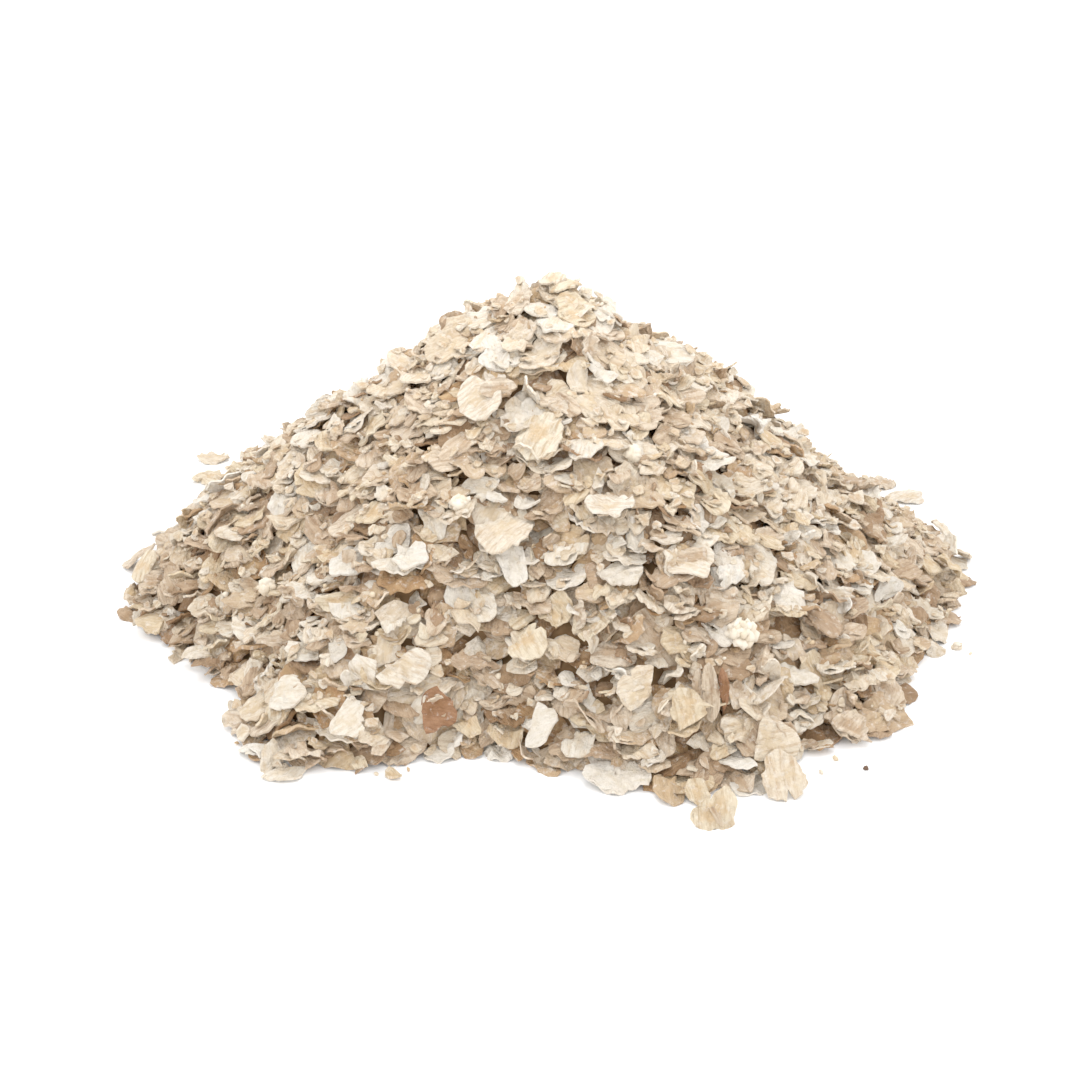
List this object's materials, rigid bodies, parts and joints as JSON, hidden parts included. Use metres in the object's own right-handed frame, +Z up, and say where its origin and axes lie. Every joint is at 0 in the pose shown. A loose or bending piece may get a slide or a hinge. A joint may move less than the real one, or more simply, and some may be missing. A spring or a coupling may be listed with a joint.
{
  "type": "heap of rolled oats",
  "caption": "Loose heap of rolled oat flakes lying on a flat surface, a low uneven cone with a rounded top and a few flakes slipped off its foot.",
  "frame": {"origin": "middle of the foot's bounding box, on the floor the heap lies on", "axes": "+Z up, the side that faces the camera in the picture is -Y, +X is to its right"},
  "size_m": [0.1488, 0.1472, 0.0562],
  "materials": {
    "rolled_oats": "dry matt cereal flakes; matte_plastic stands in for food"
  },
  "bodies": {
    "root": {"oat_heap": "rolled_oats"}
  },
  "joints": []
}
